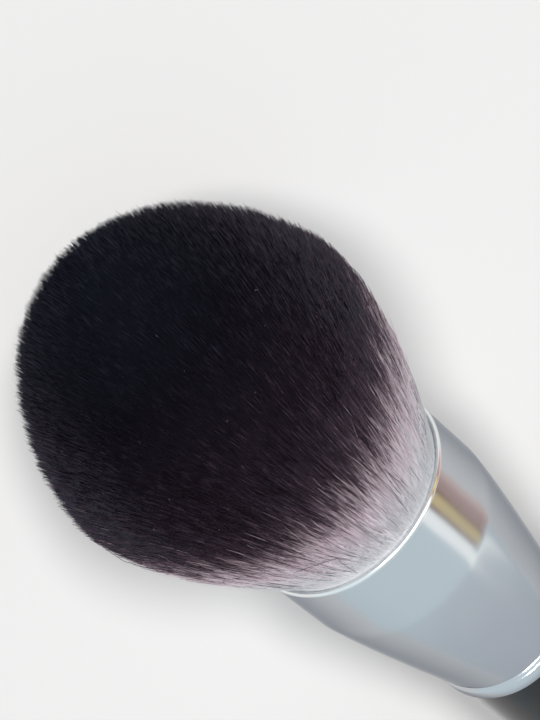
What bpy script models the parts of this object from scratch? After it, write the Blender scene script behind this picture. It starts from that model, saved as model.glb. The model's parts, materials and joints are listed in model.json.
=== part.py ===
"""Large powder brush, lying on a table on the belly of its tuft and the butt of its handle.

Units are metres and +Z is up. Every piece is modelled round its own Z axis, with depths measured from the
ferrule's mouth towards the butt and heights from the mouth towards the bristle tips. An empty then lays the
whole brush down, so that its tips point along +X.
"""

import math

import bmesh
import bpy
import numpy as np
from mathutils import Matrix, Vector

# Exposed bristles
HEAD_RADIUS = 0.0201
HEAD_LENGTH = 0.0453
BELLY_HEIGHT = 0.0249
FLARE_POWER = 1.2
CROWN_LENGTH_POWER = 1.41
CROWN_WIDTH_POWER = 2.24
FLAT_DEPTH = 0.0005

# Strands: one in the middle, then rings round it, each with more strands than the last
RINGS = 10
RING_GROWTH = 6
STRAIGHT_RINGS = 4
STRAND_GAP = 0.0002
STRAND_EMBED = 0.0006
STRAND_TIP = 0.0055
TIP_SPREAD = 0.0012
FLARE_BENDS = (0.0115,)
OUTER_FLARE_BENDS = (0.0060, 0.0140)
TIP_SEED = 5

# Bonded roots inside the ferrule
ROOT_RECESS = 0.0002
TIE_TO_ROOT_END = 0.0040
TIE_TURNS = 3
THREAD_RADIUS = 0.0004

# Ferrule
MOUTH_RADIUS = 0.0138
BEAD_PROUD = 0.0002
SHOULDER_RADIUS = 0.01405
SHOULDER_DEPTH = 0.0109
CONE_END_RADIUS = 0.01055
CONE_POWER = 1.2
COLLAR_RADIUS = 0.01085
COLLAR_LENGTH = 0.0025
COLLAR_EDGE = 0.0002
FERRULE_LENGTH = 0.0384
WALL = 0.0005
CRIMP_DEPTH = 0.0005
CRIMP_WIDTH = 0.0012

# Glue
GLUE_LENGTH = 0.0060
GLUE_EDGE = 0.0003

# Handle
HANDLE_LENGTH = 0.1120
TENON_LENGTH = 0.0168
GRIP_RADIUS = 0.0107
GRIP_DISTANCE = 0.0260
TAIL_RADIUS = 0.0056
BUTT_ROUNDING = 0.0042
BUTT_FLAT_RADIUS = 0.0030
TENON_CHAMFER = 0.0008

# Play between neighbouring pieces
CLEARANCE = 0.0003

# Facets round each turned piece, and points along its curves
ROUND_STEPS = 36
HANDLE_STEPS = 32
BORE_POINTS = 7
BEAD_POINTS = 6
CRIMP_POINTS = 5
THREAD_POINTS = 3
GRIP_POINTS = 4
TAIL_POINTS = 8
BUTT_POINTS = 5
OUTLINE_POINTS = 80

GOLDEN_ANGLE = math.pi * (3 - math.sqrt(5))
BEAD_ARC = (180, -50)
THREAD_ARC = (80, -80)
STEEPEST_TILT = math.pi / 4
TILT_HALVINGS = 50
MERGE_DISTANCE = 1e-6
FLAT_ANGLE = math.radians(0.2)
SHARP_ANGLE = math.radians(32)

# Sizes that several pieces share
cone_end_depth = FERRULE_LENGTH - COLLAR_LENGTH
crimp_top_depth = cone_end_depth - CRIMP_WIDTH / 2
tenon_top_depth = FERRULE_LENGTH - TENON_LENGTH
glue_end_depth = tenon_top_depth - CLEARANCE
glue_top_depth = glue_end_depth - GLUE_LENGTH
root_end_depth = glue_top_depth - CLEARANCE
tie_depth = root_end_depth - TIE_TO_ROOT_END
tenon_radius = CONE_END_RADIUS - WALL - CLEARANCE
neck_radius = COLLAR_RADIUS - WALL - CLEARANCE
butt_depth = FERRULE_LENGTH + HANDLE_LENGTH
table_size = (2 * (HEAD_LENGTH + butt_depth), 4 * HEAD_RADIUS, 2 * HEAD_RADIUS)


def clear_scene():
    for obj in list(bpy.data.objects):
        bpy.data.objects.remove(obj, do_unlink=True)


def new_collection(name):
    collection = bpy.data.collections.new(name)
    bpy.context.scene.collection.children.link(collection)
    return collection


def finish(name, colour, roughness, metallic=0.0):
    """A plain material in the piece's own colour."""
    material = bpy.data.materials.new(name)
    material.use_nodes = True
    shader = material.node_tree.nodes["Principled BSDF"]
    shader.inputs["Base Color"].default_value = (*colour, 1.0)
    shader.inputs["Roughness"].default_value = roughness
    shader.inputs["Metallic"].default_value = metallic
    return material


def arc(centre, radius, sweep, points):
    """Points on an arc in the (radius, height) plane, from one angle in degrees to another."""
    angles = np.radians(np.linspace(*sweep, points))
    return [(centre[0] + radius * math.cos(a), centre[1] + radius * math.sin(a)) for a in angles]


def turned(name, profile, steps, collection, material):
    """A closed mesh turned from (radius, height) points that run down its outer side."""
    outline = bpy.data.meshes.new(name + "_profile")
    edges = [(i, i + 1) for i in range(len(profile) - 1)]
    outline.from_pydata([(radius, 0, height) for radius, height in profile], edges, [])
    blank = bpy.data.objects.new(name + "_profile", outline)
    collection.objects.link(blank)
    screw = blank.modifiers.new("Turn", "SCREW")
    screw.angle = 2 * math.pi
    screw.steps = steps
    screw.render_steps = steps
    screw.use_merge_vertices = True
    screw.merge_threshold = MERGE_DISTANCE
    graph = bpy.context.evaluated_depsgraph_get()
    mesh = bpy.data.meshes.new_from_object(blank.evaluated_get(graph))
    bpy.data.objects.remove(blank)
    bm = bmesh.new()
    bm.from_mesh(mesh)
    bmesh.ops.remove_doubles(bm, verts=bm.verts, dist=MERGE_DISTANCE)
    bmesh.ops.dissolve_limit(bm, angle_limit=FLAT_ANGLE, verts=bm.verts, edges=bm.edges)
    bm.to_mesh(mesh)
    bm.free()
    mesh.name = name
    mesh.materials.clear()
    mesh.materials.append(material)
    mesh.shade_smooth()
    mesh.set_sharp_from_angle(angle=SHARP_ANGLE)
    piece = bpy.data.objects.new(name, mesh)
    collection.objects.link(piece)
    return piece


def ferrule_radius(depth):
    """Outer radius of the ferrule's tube and cone."""
    if depth <= SHOULDER_DEPTH:
        return MOUTH_RADIUS + (SHOULDER_RADIUS - MOUTH_RADIUS) * depth / SHOULDER_DEPTH
    along = min(1.0, (depth - SHOULDER_DEPTH) / (cone_end_depth - SHOULDER_DEPTH))
    return SHOULDER_RADIUS - (SHOULDER_RADIUS - CONE_END_RADIUS) * along**CONE_POWER


def cone_depth(radius):
    """Depth at which the cone has a given outer radius."""
    along = (SHOULDER_RADIUS - radius) / (SHOULDER_RADIUS - CONE_END_RADIUS)
    along = min(1.0, max(0.0, along)) ** (1 / CONE_POWER)
    return SHOULDER_DEPTH + (cone_end_depth - SHOULDER_DEPTH) * along


def filling_radius(depth):
    """Radius of whatever fills the ferrule's bore at a depth."""
    return ferrule_radius(depth) - WALL - CLEARANCE


def bore_depths(top, end):
    """Depths of profile points between two depths, following the shoulder and the cone."""
    cone = np.linspace(SHOULDER_DEPTH, cone_end_depth, BORE_POINTS)
    return [top] + [float(depth) for depth in cone if top < depth < end] + [end]


def crimp_line(inset):
    """Profile down the crimp between cone and collar, moved in from the ferrule's outer side by an inset."""
    points = []
    for along in np.linspace(-1, 1, CRIMP_POINTS):
        blend = (1 + math.sin(along * math.pi / 2)) / 2
        body = CONE_END_RADIUS + (COLLAR_RADIUS - CONE_END_RADIUS) * blend
        dip = CRIMP_DEPTH * math.cos(along * math.pi / 2) ** 2
        points.append((body - dip - inset, -cone_end_depth - along * CRIMP_WIDTH / 2))
    return points


def ferrule_profile():
    bead_radius = (WALL + BEAD_PROUD) / 2
    bore_radius = MOUTH_RADIUS - WALL
    edge = min(COLLAR_EDGE, WALL / 2)
    depths = bore_depths(2 * bead_radius, crimp_top_depth)
    bead = arc((bore_radius + bead_radius, -bead_radius), bead_radius, BEAD_ARC, BEAD_POINTS)
    outside = [(ferrule_radius(depth), -depth) for depth in depths]
    inside = [(ferrule_radius(depth) - WALL, -depth) for depth in depths]
    end = [
        (COLLAR_RADIUS, edge - FERRULE_LENGTH),
        (COLLAR_RADIUS - edge, -FERRULE_LENGTH),
        (COLLAR_RADIUS - WALL, -FERRULE_LENGTH),
    ]
    return bead + outside + crimp_line(0) + end + crimp_line(WALL)[::-1] + inside[::-1] + bead[:1]


def handle_radius(distance):
    """Radius of the handle at a distance past the ferrule's end: a slim swell, then a long taper."""
    if distance < GRIP_DISTANCE:
        blend = (1 - math.cos(math.pi * distance / GRIP_DISTANCE)) / 2
        return neck_radius + (GRIP_RADIUS - neck_radius) * blend
    along = (distance - GRIP_DISTANCE) / (HANDLE_LENGTH - BUTT_ROUNDING - GRIP_DISTANCE)
    return GRIP_RADIUS - (GRIP_RADIUS - TAIL_RADIUS) * (1 - math.cos(math.pi * along)) / 2


def handle_profile():
    grip = np.linspace(0, GRIP_DISTANCE, GRIP_POINTS, endpoint=False)
    tail = np.linspace(GRIP_DISTANCE, HANDLE_LENGTH - BUTT_ROUNDING, TAIL_POINTS)
    body = [(handle_radius(float(d)), -FERRULE_LENGTH - float(d)) for d in (*grip, *tail)]
    butt = []
    for angle in np.linspace(0, math.pi / 2, BUTT_POINTS)[1:]:
        radius = BUTT_FLAT_RADIUS + (TAIL_RADIUS - BUTT_FLAT_RADIUS) * math.cos(angle)
        butt.append((radius, BUTT_ROUNDING * (1 - math.sin(angle)) - butt_depth))
    tenon = [
        (0, -tenon_top_depth),
        (tenon_radius - TENON_CHAMFER, -tenon_top_depth),
        (tenon_radius, -tenon_top_depth - TENON_CHAMFER),
    ]
    return tenon + crimp_line(WALL + CLEARANCE) + body + butt + [(0, -butt_depth)]


def thread_seat():
    """Inner radius, top and end of the band that the tying thread fills round the roots."""
    half_width = TIE_TURNS * THREAD_RADIUS
    inner_radius = filling_radius(tie_depth - half_width) - 2 * THREAD_RADIUS
    return inner_radius, half_width - tie_depth, -half_width - tie_depth


def thread_profile():
    """Three turns of thread side by side, over a plain inner side."""
    inner_radius, top, end = thread_seat()
    profile = [(inner_radius, top)]
    for turn in range(TIE_TURNS):
        centre = (inner_radius + THREAD_RADIUS, top - (2 * turn + 1) * THREAD_RADIUS)
        profile += arc(centre, THREAD_RADIUS, THREAD_ARC, THREAD_POINTS)
    return profile + [(inner_radius, end), (inner_radius, top)]


def root_profile():
    """Bonded roots: they fill the bore, with a seat for the thread."""
    inner_radius, top, end = thread_seat()
    seat_radius = inner_radius - CLEARANCE
    above = [(filling_radius(d), -d) for d in bore_depths(ROOT_RECESS, -top - CLEARANCE)]
    below = [(filling_radius(d), -d) for d in bore_depths(CLEARANCE - end, root_end_depth)]
    seat = [(seat_radius, above[-1][1]), (seat_radius, below[0][1])]
    return [(0, -ROOT_RECESS)] + above + seat + below + [(0, -root_end_depth)]


def glue_profile():
    side = [(filling_radius(d), -d) for d in bore_depths(glue_top_depth, glue_end_depth)]
    return [(0, -glue_top_depth)] + side + [(0, -glue_end_depth)]


def adhesive_profile():
    """The wedge between the cone and the tenon, which ends where it grows too thin."""
    inner_radius = tenon_radius + CLEARANCE
    end_depth = cone_depth(inner_radius + GLUE_EDGE + CLEARANCE + WALL)
    side = [(filling_radius(d), -d) for d in bore_depths(tenon_top_depth, end_depth)]
    return side + [(inner_radius, -end_depth), (inner_radius, -tenon_top_depth), side[0]]


def head_radius(height):
    """Radius of the tuft's outline, which flares to the belly and closes in a soft dome."""
    mouth = filling_radius(0)
    if height <= BELLY_HEIGHT:
        flare = math.sin(math.pi / 2 * (height / BELLY_HEIGHT) ** FLARE_POWER)
        return mouth + (HEAD_RADIUS - mouth) * flare
    along = min(1.0, (height - BELLY_HEIGHT) / (HEAD_LENGTH - BELLY_HEIGHT))
    return HEAD_RADIUS * (1 - along**CROWN_LENGTH_POWER) ** (1 / CROWN_WIDTH_POWER)


def crown_height(radius):
    """Height of the dome at a distance from the axis."""
    share = 1 - min(1.0, radius / HEAD_RADIUS) ** CROWN_WIDTH_POWER
    return BELLY_HEIGHT + (HEAD_LENGTH - BELLY_HEIGHT) * share ** (1 / CROWN_LENGTH_POWER)


def strand_section(height, ring, turn):
    """(centre, half width) of one strand at a height. Past the belly it runs straight.

    Half widths reach to a corner, and the flat side is half as far out, so a strand of the outer ring meets
    the outline at ring_step * RINGS + (ring_step - STRAND_GAP) / 4.
    """
    outline_radius = filling_radius(0) - CLEARANCE
    if height >= 0:
        outline_radius = head_radius(min(height, BELLY_HEIGHT))
    ring_step = (outline_radius + STRAND_GAP / 4) / (RINGS + 1 / 4)
    centre = Vector((math.cos(turn), math.sin(turn), 0)) * ring_step * ring
    centre.z = height
    return centre, (ring_step - STRAND_GAP) / 2


def strand_heights(ring, tip):
    """Heights at which a strand bends, from its embedded root up to where it starts to narrow."""
    bends = FLARE_BENDS if ring < RINGS else OUTER_FLARE_BENDS
    if ring <= STRAIGHT_RINGS:
        bends = ()
    narrowing = tip - STRAND_TIP
    passed = [bend for bend in (*bends, BELLY_HEIGHT) if bend < narrowing]
    return [-ROOT_RECESS - STRAND_EMBED] + passed + [narrowing]


def add_strand(bm, ring, turn, shortened):
    """Extrudes one three-sided strand from its root to its tip, with a flat side facing outwards."""
    belly_centre = strand_section(BELLY_HEIGHT, ring, turn)[0]
    tip = crown_height(belly_centre.xy.length) - shortened
    heights = strand_heights(ring, tip)
    centre, half_width = strand_section(heights[0], ring, turn)
    place = Matrix.Translation(centre) @ Matrix.Rotation(turn + math.pi / 2, 4, "Z")
    root = bmesh.ops.create_circle(bm, cap_ends=True, segments=3, radius=half_width, matrix=place)
    face = root["verts"][0].link_faces[0]
    inner_faces = []
    for height in heights[1:]:
        new_centre, new_half_width = strand_section(height, ring, turn)
        grown = bmesh.ops.extrude_face_region(bm, geom=[face])
        face = next(item for item in grown["geom"] if isinstance(item, bmesh.types.BMFace))
        for vert in face.verts:
            vert.co = new_centre + (vert.co - centre) * (new_half_width / half_width)
        inner_faces.append(face)
        centre, half_width = new_centre, new_half_width
    bmesh.ops.delete(bm, geom=inner_faces[:-1], context="FACES_ONLY")
    point = bmesh.ops.poke(bm, faces=[face])["verts"][0]
    point.co = (belly_centre.x, belly_centre.y, tip)


def strands(collection):
    """All the strands of the tuft, each a closed body of its own. One in the outer ring faces the table."""
    uneven = np.random.default_rng(TIP_SEED)
    bm = bmesh.new()
    for ring in range(RINGS + 1):
        in_ring = max(1, RING_GROWTH * ring)
        for place in range(in_ring):
            turn = 2 * math.pi * place / in_ring + (RINGS - ring) * GOLDEN_ANGLE
            add_strand(bm, ring, turn, float(uneven.uniform(0, TIP_SPREAD)))
    bmesh.ops.recalc_face_normals(bm, faces=bm.faces)
    mesh = bpy.data.meshes.new("strands")
    bm.to_mesh(mesh)
    bm.free()
    helper = bpy.data.objects.new("strands", mesh)
    collection.objects.link(helper)
    return helper


def table_cutter(collection):
    """A slab whose top is the table, which presses the tuft flat."""
    mesh = bpy.data.meshes.new("table_cutter")
    bm = bmesh.new()
    place = Matrix.Translation((0, 0, -table_size[2] / 2)) @ Matrix.Diagonal((*table_size, 1))
    bmesh.ops.create_cube(bm, size=1, matrix=place)
    bm.to_mesh(mesh)
    bm.free()
    cutter = bpy.data.objects.new("table_cutter", mesh)
    collection.objects.link(cutter)
    return cutter


def add_boolean(piece, helper, operation):
    boolean = piece.modifiers.new(helper.name, "BOOLEAN")
    boolean.operation = operation
    boolean.solver = "EXACT"
    boolean.object = helper
    helper.hide_render = True
    helper.display_type = "WIRE"


def lowest(profile, tilt):
    """Height of a turned profile's lowest point when the brush's axis is tilted about the mouth."""
    return min(height * math.sin(tilt) - radius * math.cos(tilt) for radius, height in profile)


def lay_down():
    """(tilt, height of the mouth) with the pressed belly and a facet of the handle both on the table."""
    heights = np.linspace(0, HEAD_LENGTH, OUTLINE_POINTS)
    head = [(head_radius(float(height)), float(height)) for height in heights]
    to_facet = math.cos(math.pi / HANDLE_STEPS)
    handle = [(radius * to_facet, height) for radius, height in handle_profile()]
    low, high = 0.0, STEEPEST_TILT
    for _ in range(TILT_HALVINGS):
        tilt = (low + high) / 2
        if lowest(head, tilt) + FLAT_DEPTH < lowest(handle, tilt):
            low = tilt
        else:
            high = tilt
    return tilt, -lowest(handle, tilt)


def middle_of(pieces):
    """Middle of the pieces' bounding box, seen from above."""
    bpy.context.view_layer.update()
    graph = bpy.context.evaluated_depsgraph_get()
    corners = []
    for piece in pieces:
        shape = piece.evaluated_get(graph)
        mesh = shape.to_mesh()
        corners += [shape.matrix_world @ vert.co for vert in mesh.vertices]
        shape.to_mesh_clear()
    spans = [(min(c[axis] for c in corners), max(c[axis] for c in corners)) for axis in (0, 1)]
    return [sum(span) / 2 for span in spans]


def build():
    clear_scene()
    brush = new_collection("powder_brush")
    helpers = new_collection("helpers")

    fibre = finish("dyed_fibre", (0.020, 0.016, 0.022), 0.85)
    thread = finish("waxed_thread", (0.62, 0.56, 0.44), 0.7)
    epoxy = finish("epoxy", (0.60, 0.42, 0.16), 0.3)
    chrome = finish("chromed_tube", (0.72, 0.75, 0.79), 0.12, 1.0)
    lacquer = finish("black_lacquer", (0.010, 0.010, 0.012), 0.1)
    wood_glue = finish("wood_glue", (0.80, 0.74, 0.58), 0.5)

    tuft = turned("bristle_tuft", root_profile(), ROUND_STEPS, brush, fibre)
    tie = turned("binding_thread", thread_profile(), ROUND_STEPS, brush, thread)
    plug = turned("root_glue", glue_profile(), ROUND_STEPS, brush, epoxy)
    ferrule = turned("ferrule", ferrule_profile(), ROUND_STEPS, brush, chrome)
    handle = turned("handle", handle_profile(), HANDLE_STEPS, brush, lacquer)
    wedge = turned("tenon_adhesive", adhesive_profile(), HANDLE_STEPS, brush, wood_glue)
    handle.rotation_euler.z = math.pi / HANDLE_STEPS
    wedge.rotation_euler.z = math.pi / HANDLE_STEPS

    bundle = strands(helpers)
    add_boolean(tuft, bundle, "UNION")
    add_boolean(tuft, table_cutter(helpers), "DIFFERENCE")

    frame = bpy.data.objects.new("brush_frame", None)
    brush.objects.link(frame)
    pieces = [tuft, tie, plug, ferrule, handle, wedge]
    for piece in (*pieces, bundle):
        piece.parent = frame
    tilt, mouth_height = lay_down()
    frame.rotation_euler = (0, math.pi / 2 - tilt, 0)
    frame.location = (0, 0, mouth_height)
    middle_x, middle_y = middle_of(pieces)
    frame.location = (-middle_x, -middle_y, mouth_height)

    bpy.context.view_layer.update()
    butt = frame.matrix_world @ Vector((0, 0, -butt_depth))
    facing = frame.matrix_world.to_3x3() @ Vector((0, 0, -1))
    print("Mouth of the ferrule at", [round(v, 6) for v in frame.location])
    print("Tilt of the axis in degrees", round(math.degrees(tilt), 4))
    print("Butt face at", [round(v, 6) for v in butt], "facing", [round(v, 6) for v in facing])


build()
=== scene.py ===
import json
import math
import random

import bmesh
import bpy
from mathutils import Matrix, Vector


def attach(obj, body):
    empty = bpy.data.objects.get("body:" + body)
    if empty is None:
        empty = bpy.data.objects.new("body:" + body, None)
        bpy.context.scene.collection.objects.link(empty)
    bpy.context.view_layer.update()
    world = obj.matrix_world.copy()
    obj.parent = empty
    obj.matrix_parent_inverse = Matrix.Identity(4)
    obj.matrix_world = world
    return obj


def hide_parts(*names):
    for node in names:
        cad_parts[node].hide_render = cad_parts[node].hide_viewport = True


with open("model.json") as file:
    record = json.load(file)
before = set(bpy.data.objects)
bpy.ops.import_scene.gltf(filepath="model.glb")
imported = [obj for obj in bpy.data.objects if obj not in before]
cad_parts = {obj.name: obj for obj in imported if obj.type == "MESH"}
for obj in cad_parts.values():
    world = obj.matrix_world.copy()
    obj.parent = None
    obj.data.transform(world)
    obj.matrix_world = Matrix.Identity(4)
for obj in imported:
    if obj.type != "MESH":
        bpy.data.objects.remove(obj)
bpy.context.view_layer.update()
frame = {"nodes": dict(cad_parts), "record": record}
print("frame loaded:", sorted(frame["nodes"]))

# The brush's own frame has its origin at the ferrule's mouth, Z towards the bristle tips and X towards the
# table. Sizes are in metres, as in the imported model, unless a note says otherwise.
brush = {
    "ferruleLength": 0.0384,
    "handleLength": 0.1120,
    "mouthRadius": 0.0138,
    "wall": 0.0005,
    "collarRadius": 0.01085,
    "headRadius": 0.0201,
    "headLength": 0.0453,
    "bellyHeight": 0.0249,
    "clearance": 0.0003,
}
buttMount = frame["record"]["mounts"][0]
tipsWay = -Vector(buttMount["axis"]).normalized()
mouth = Vector(buttMount["pos_m"]) + tipsWay * (brush["ferruleLength"] + brush["handleLength"])
acrossWay = Vector((0, 1, 0))
tableWay = acrossWay.cross(tipsWay)
brushPlace = Matrix((tableWay, acrossWay, tipsWay)).transposed().to_4x4()
brushPlace.translation = mouth


# Node trees
class Field:
    # A number that a node tree works out, so that its formulas read as formulas
    def __init__(self, tree, socket):
        self.tree = tree
        self.socket = socket

    def maths(self, operation, *others):
        node = self.tree.nodes.new("ShaderNodeMath")
        node.operation = operation
        for place, value in zip(node.inputs, (self, *others)):
            feed(self.tree, place, value)
        return Field(self.tree, node.outputs[0])

    def __add__(self, other):
        return self.maths("ADD", other)

    def __sub__(self, other):
        return self.maths("SUBTRACT", other)

    def __rsub__(self, other):
        return (self * -1).maths("ADD", other)

    def __mul__(self, other):
        return self.maths("MULTIPLY", other)

    def __truediv__(self, other):
        return self.maths("DIVIDE", other)

    def __pow__(self, other):
        return self.maths("POWER", other)

    __radd__ = __add__
    __rmul__ = __mul__

    def floored(self):
        return self.maths("FLOOR")

    def sine(self):
        return self.maths("SINE")

    def cosine(self):
        return self.maths("COSINE")

    def angleFrom(self, other):
        return self.maths("ARCTAN2", other)

    def over(self, other):
        # 1 where it is more than the other, and 0 elsewhere
        return self.maths("GREATER_THAN", other)

    def atMost(self, other):
        return self.maths("MINIMUM", other)

    def atLeast(self, other):
        return self.maths("MAXIMUM", other)

    def rising(self, start, end):
        # 0 below start, 1 above end, and smooth between them
        inputs = {"Value": self.socket, "From Min": start, "From Max": end}
        node = put(self.tree, "ShaderNodeMapRange", inputs, interpolation_type="SMOOTHSTEP")
        return Field(self.tree, node.outputs[0])

    def within(self, start, end, soft):
        return self.rising(start - soft, start + soft) * (1 - self.rising(end - soft, end + soft))


def feed(tree, place, value):
    if isinstance(value, Field):
        value = value.socket
    if isinstance(value, bpy.types.NodeSocket):
        tree.links.new(value, place)
    else:
        place.default_value = value


def put(tree, kind, inputs=None, **settings):
    node = tree.nodes.new(kind)
    for name, value in settings.items():
        setattr(node, name, value)
    for name, value in (inputs or {}).items():
        feed(tree, node.inputs[name], value)
    return node


def blend(tree, share, first, second):
    inputs = {"Fac": share, "Color1": first, "Color2": second}
    return put(tree, "ShaderNodeMixRGB", inputs).outputs[0]


def noise(tree, spot, scale, detail):
    inputs = {"Vector": spot, "Scale": scale, "Detail": detail}
    return Field(tree, put(tree, "ShaderNodeTexNoise", inputs).outputs["Fac"])


def vectorOf(tree, x, y, z):
    return put(tree, "ShaderNodeCombineXYZ", {"X": x, "Y": y, "Z": z}).outputs[0]


def partsOf(tree, vector):
    node = put(tree, "ShaderNodeSeparateXYZ", {"Vector": vector})
    return [Field(tree, node.outputs[axis]) for axis in "XYZ"]


def scaledBy(tree, vector, factor):
    node = put(tree, "ShaderNodeVectorMath", {"Scale": factor}, operation="SCALE")
    tree.links.new(vector, node.inputs[0])
    return node.outputs[0]


def onRing(tree, radius, turn, height):
    return vectorOf(tree, radius * turn.cosine(), radius * turn.sine(), height)


def joined(tree, operation, first, second):
    node = put(tree, "ShaderNodeVectorMath", operation=operation)
    tree.links.new(first, node.inputs[0])
    tree.links.new(second, node.inputs[1])
    return node.outputs[0]


def objectSpot(tree):
    return put(tree, "ShaderNodeTexCoord").outputs["Object"]


def brushSpot(tree):
    # how far a point lies towards the table, across the brush and towards the tips, whatever the object
    mapping = put(tree, "ShaderNodeMapping", {"Vector": objectSpot(tree)}, vector_type="TEXTURE")
    mapping.inputs["Location"].default_value = brushPlace.translation
    mapping.inputs["Rotation"].default_value = brushPlace.to_euler()
    return partsOf(tree, mapping.outputs[0])


def addBump(tree, shader, height, strength, distance):
    bump = put(tree, "ShaderNodeBump", {"Height": height, "Strength": strength, "Distance": distance})
    tree.links.new(bump.outputs[0], shader.inputs["Normal"])


def newMaterial(name):
    material = bpy.data.materials.new(name)
    material.use_nodes = True
    tree = material.node_tree
    return material, tree, tree.nodes["Principled BSDF"]


def inScene(name, data):
    thing = bpy.data.objects.new(name, data)
    bpy.context.scene.collection.objects.link(thing)
    return thing


# Camera: where the mouth and the tips are, seen from it
camera = {
    "lens": 86.7,
    "sensor": 36.0,
    "clipStart": 0.01,
    "mouthRight": 0.00799,
    "mouthDown": 0.01500,
    "mouthAhead": 0.15368,
    "tipsAngle": 53.8,  # between the brush's axis and the way back to the camera
    "tipsTurn": -138.5,  # of the axis in the picture, clockwise from its right side
}


def addCamera():
    angle = math.radians(camera["tipsAngle"])
    turn = math.radians(camera["tipsTurn"])
    ahead = math.sin(angle) * tableWay - math.cos(angle) * tipsWay
    alongAxis = (tipsWay - tipsWay.dot(ahead) * ahead).normalized()
    beside = ahead.cross(alongAxis)
    right = math.cos(turn) * alongAxis - math.sin(turn) * beside
    down = math.sin(turn) * alongAxis + math.cos(turn) * beside
    place = Matrix((right, -down, -ahead)).transposed().to_4x4()
    toMouth = camera["mouthRight"] * right + camera["mouthDown"] * down + camera["mouthAhead"] * ahead
    place.translation = mouth - toMouth
    lens = bpy.data.cameras.new("camera")
    lens.sensor_fit = "HORIZONTAL"
    lens.sensor_width = camera["sensor"]
    lens.lens = camera["lens"]
    lens.clip_start = camera["clipStart"]
    viewer = inScene("camera", lens)
    viewer.matrix_world = place
    bpy.context.scene.camera = viewer
    print("camera", round(math.degrees(math.asin(-ahead.z)), 1), "degrees above the table")


# Studio
studio = {
    "floorSize": 6.0,
    "floorColour": (0.80, 0.797, 0.795),
    "backdropColour": (0.863, 0.863, 0.863),
    "evenness": 0.05,  # how much of the floor's own shading the backdrop colour takes the place of
    "skyColour": (0.15, 0.162, 0.172),
    # both lamps stand on the tips' side, one turned to each side, with angles in degrees
    "lampStrength": 1.81,
    "lampColour": (1.0, 0.985, 0.975),
    "lampSize": 16,
    "lampHeight": 55,
    "lampTurns": {"left": 20, "right": -30},
    # What the chrome reflects: pale walls, a white strip light and matt cards beside the table. "Around" is
    # the angle round the X axis in degrees, and "away" is how far a way points away from the bristle tips,
    # from 0 to 1. A range with three numbers is a start, an end and a blur.
    "wallNear": (0.80, 0.90, 0.94),
    "wallFar": (0.69, 0.71, 0.76),
    "wallAway": (0.80, 0.98),
    "cards": (
        {"around": (-138, -62, 5), "colour": (0.58, 0.41, 0.39)},
        {"around": (-138, -83, 5), "colour": (0.88, 0.68, 0.63)},
        {"around": (-70, -48, 1.5), "colour": (0.34, 0.22, 0.20)},
        {"around": (-65, -53, 2), "colour": (0.86, 0.70, 0.38)},
    ),
    "cardEndAway": (0.755, 0.815),
    "stripColour": (1.35, 1.36, 1.33),
    "stripAround": (-47, -32, 2.5),
    "stripEndAway": (0.86, 0.91),
    # the strip's short arm, across the end of the cards
    "armAround": (-82, -46, 6),
    "armAway": (0.835, 0.875, 0.015),
}


def addFloor():
    half = studio["floorSize"] / 2
    corners = [(-half, -half, 0), (half, -half, 0), (half, half, 0), (-half, half, 0)]
    mesh = bpy.data.meshes.new("floor")
    mesh.from_pydata(corners, [], [(0, 1, 2, 3)])
    material, tree, shader = newMaterial("paperFloor")
    shader.inputs["Base Color"].default_value = (*studio["floorColour"], 1)
    shader.inputs["Roughness"].default_value = 1.0
    shader.inputs["Specular IOR Level"].default_value = 0.0
    path = put(tree, "ShaderNodeLightPath")
    plain = put(tree, "ShaderNodeEmission", {"Color": (*studio["backdropColour"], 1), "Strength": 1.0})
    share = Field(tree, path.outputs["Is Camera Ray"]) * studio["evenness"]
    paper = put(tree, "ShaderNodeMixShader", {"Fac": share})
    tree.links.new(shader.outputs[0], paper.inputs[1])
    tree.links.new(plain.outputs[0], paper.inputs[2])
    tree.links.new(paper.outputs[0], tree.nodes["Material Output"].inputs["Surface"])
    mesh.materials.append(material)
    floor = inScene("floor", mesh)


def addSurround():
    world = bpy.data.worlds.new("studio")
    world.use_nodes = True
    tree = world.node_tree
    tree.nodes.clear()
    aheadX, aheadY, aheadZ = partsOf(tree, put(tree, "ShaderNodeTexCoord").outputs["Generated"])
    away = aheadX * -1
    around = aheadY.angleFrom(aheadZ) * (180 / math.pi)
    far = away.rising(*studio["wallAway"])
    walls = blend(tree, far, (*studio["wallNear"], 1), (*studio["wallFar"], 1))
    for card in studio["cards"]:
        share = around.within(*card["around"]) * (1 - away.rising(*studio["cardEndAway"]))
        walls = blend(tree, share, walls, (*card["colour"], 1))
    strip = around.within(*studio["stripAround"]) * (1 - away.rising(*studio["stripEndAway"]))
    strip = strip + around.within(*studio["armAround"]) * away.within(*studio["armAway"])
    walls = blend(tree, strip.atMost(1), walls, (*studio["stripColour"], 1))
    path = put(tree, "ShaderNodeLightPath")
    seen = blend(tree, path.outputs["Is Glossy Ray"], (*studio["skyColour"], 1), walls)
    seen = blend(tree, path.outputs["Is Camera Ray"], seen, (*studio["backdropColour"], 1))
    sky = put(tree, "ShaderNodeBackground", {"Color": seen, "Strength": 1.0})
    put(tree, "ShaderNodeOutputWorld", {"Surface": sky.outputs[0]})
    bpy.context.scene.world = world
    bpy.context.scene.view_settings.view_transform = "Standard"


def addLamps():
    high = math.radians(studio["lampHeight"])
    for name, degrees in studio["lampTurns"].items():
        lamp = bpy.data.lights.new(name, "SUN")
        lamp.energy = studio["lampStrength"]
        lamp.angle = math.radians(studio["lampSize"])
        lamp.color = studio["lampColour"]
        turn = math.radians(degrees)
        fromWay = Vector((math.cos(high) * math.cos(turn), math.cos(high) * math.sin(turn), math.sin(high)))
        inScene(name, lamp).rotation_euler = fromWay.to_track_quat("Z", "Y").to_euler()


# Pieces turned round the axis
turning = {
    "joinedWithin": 1e-7,  # points nearer than this to each other, or to the axis, are one
    "sharpAngle": 35,
}


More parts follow.
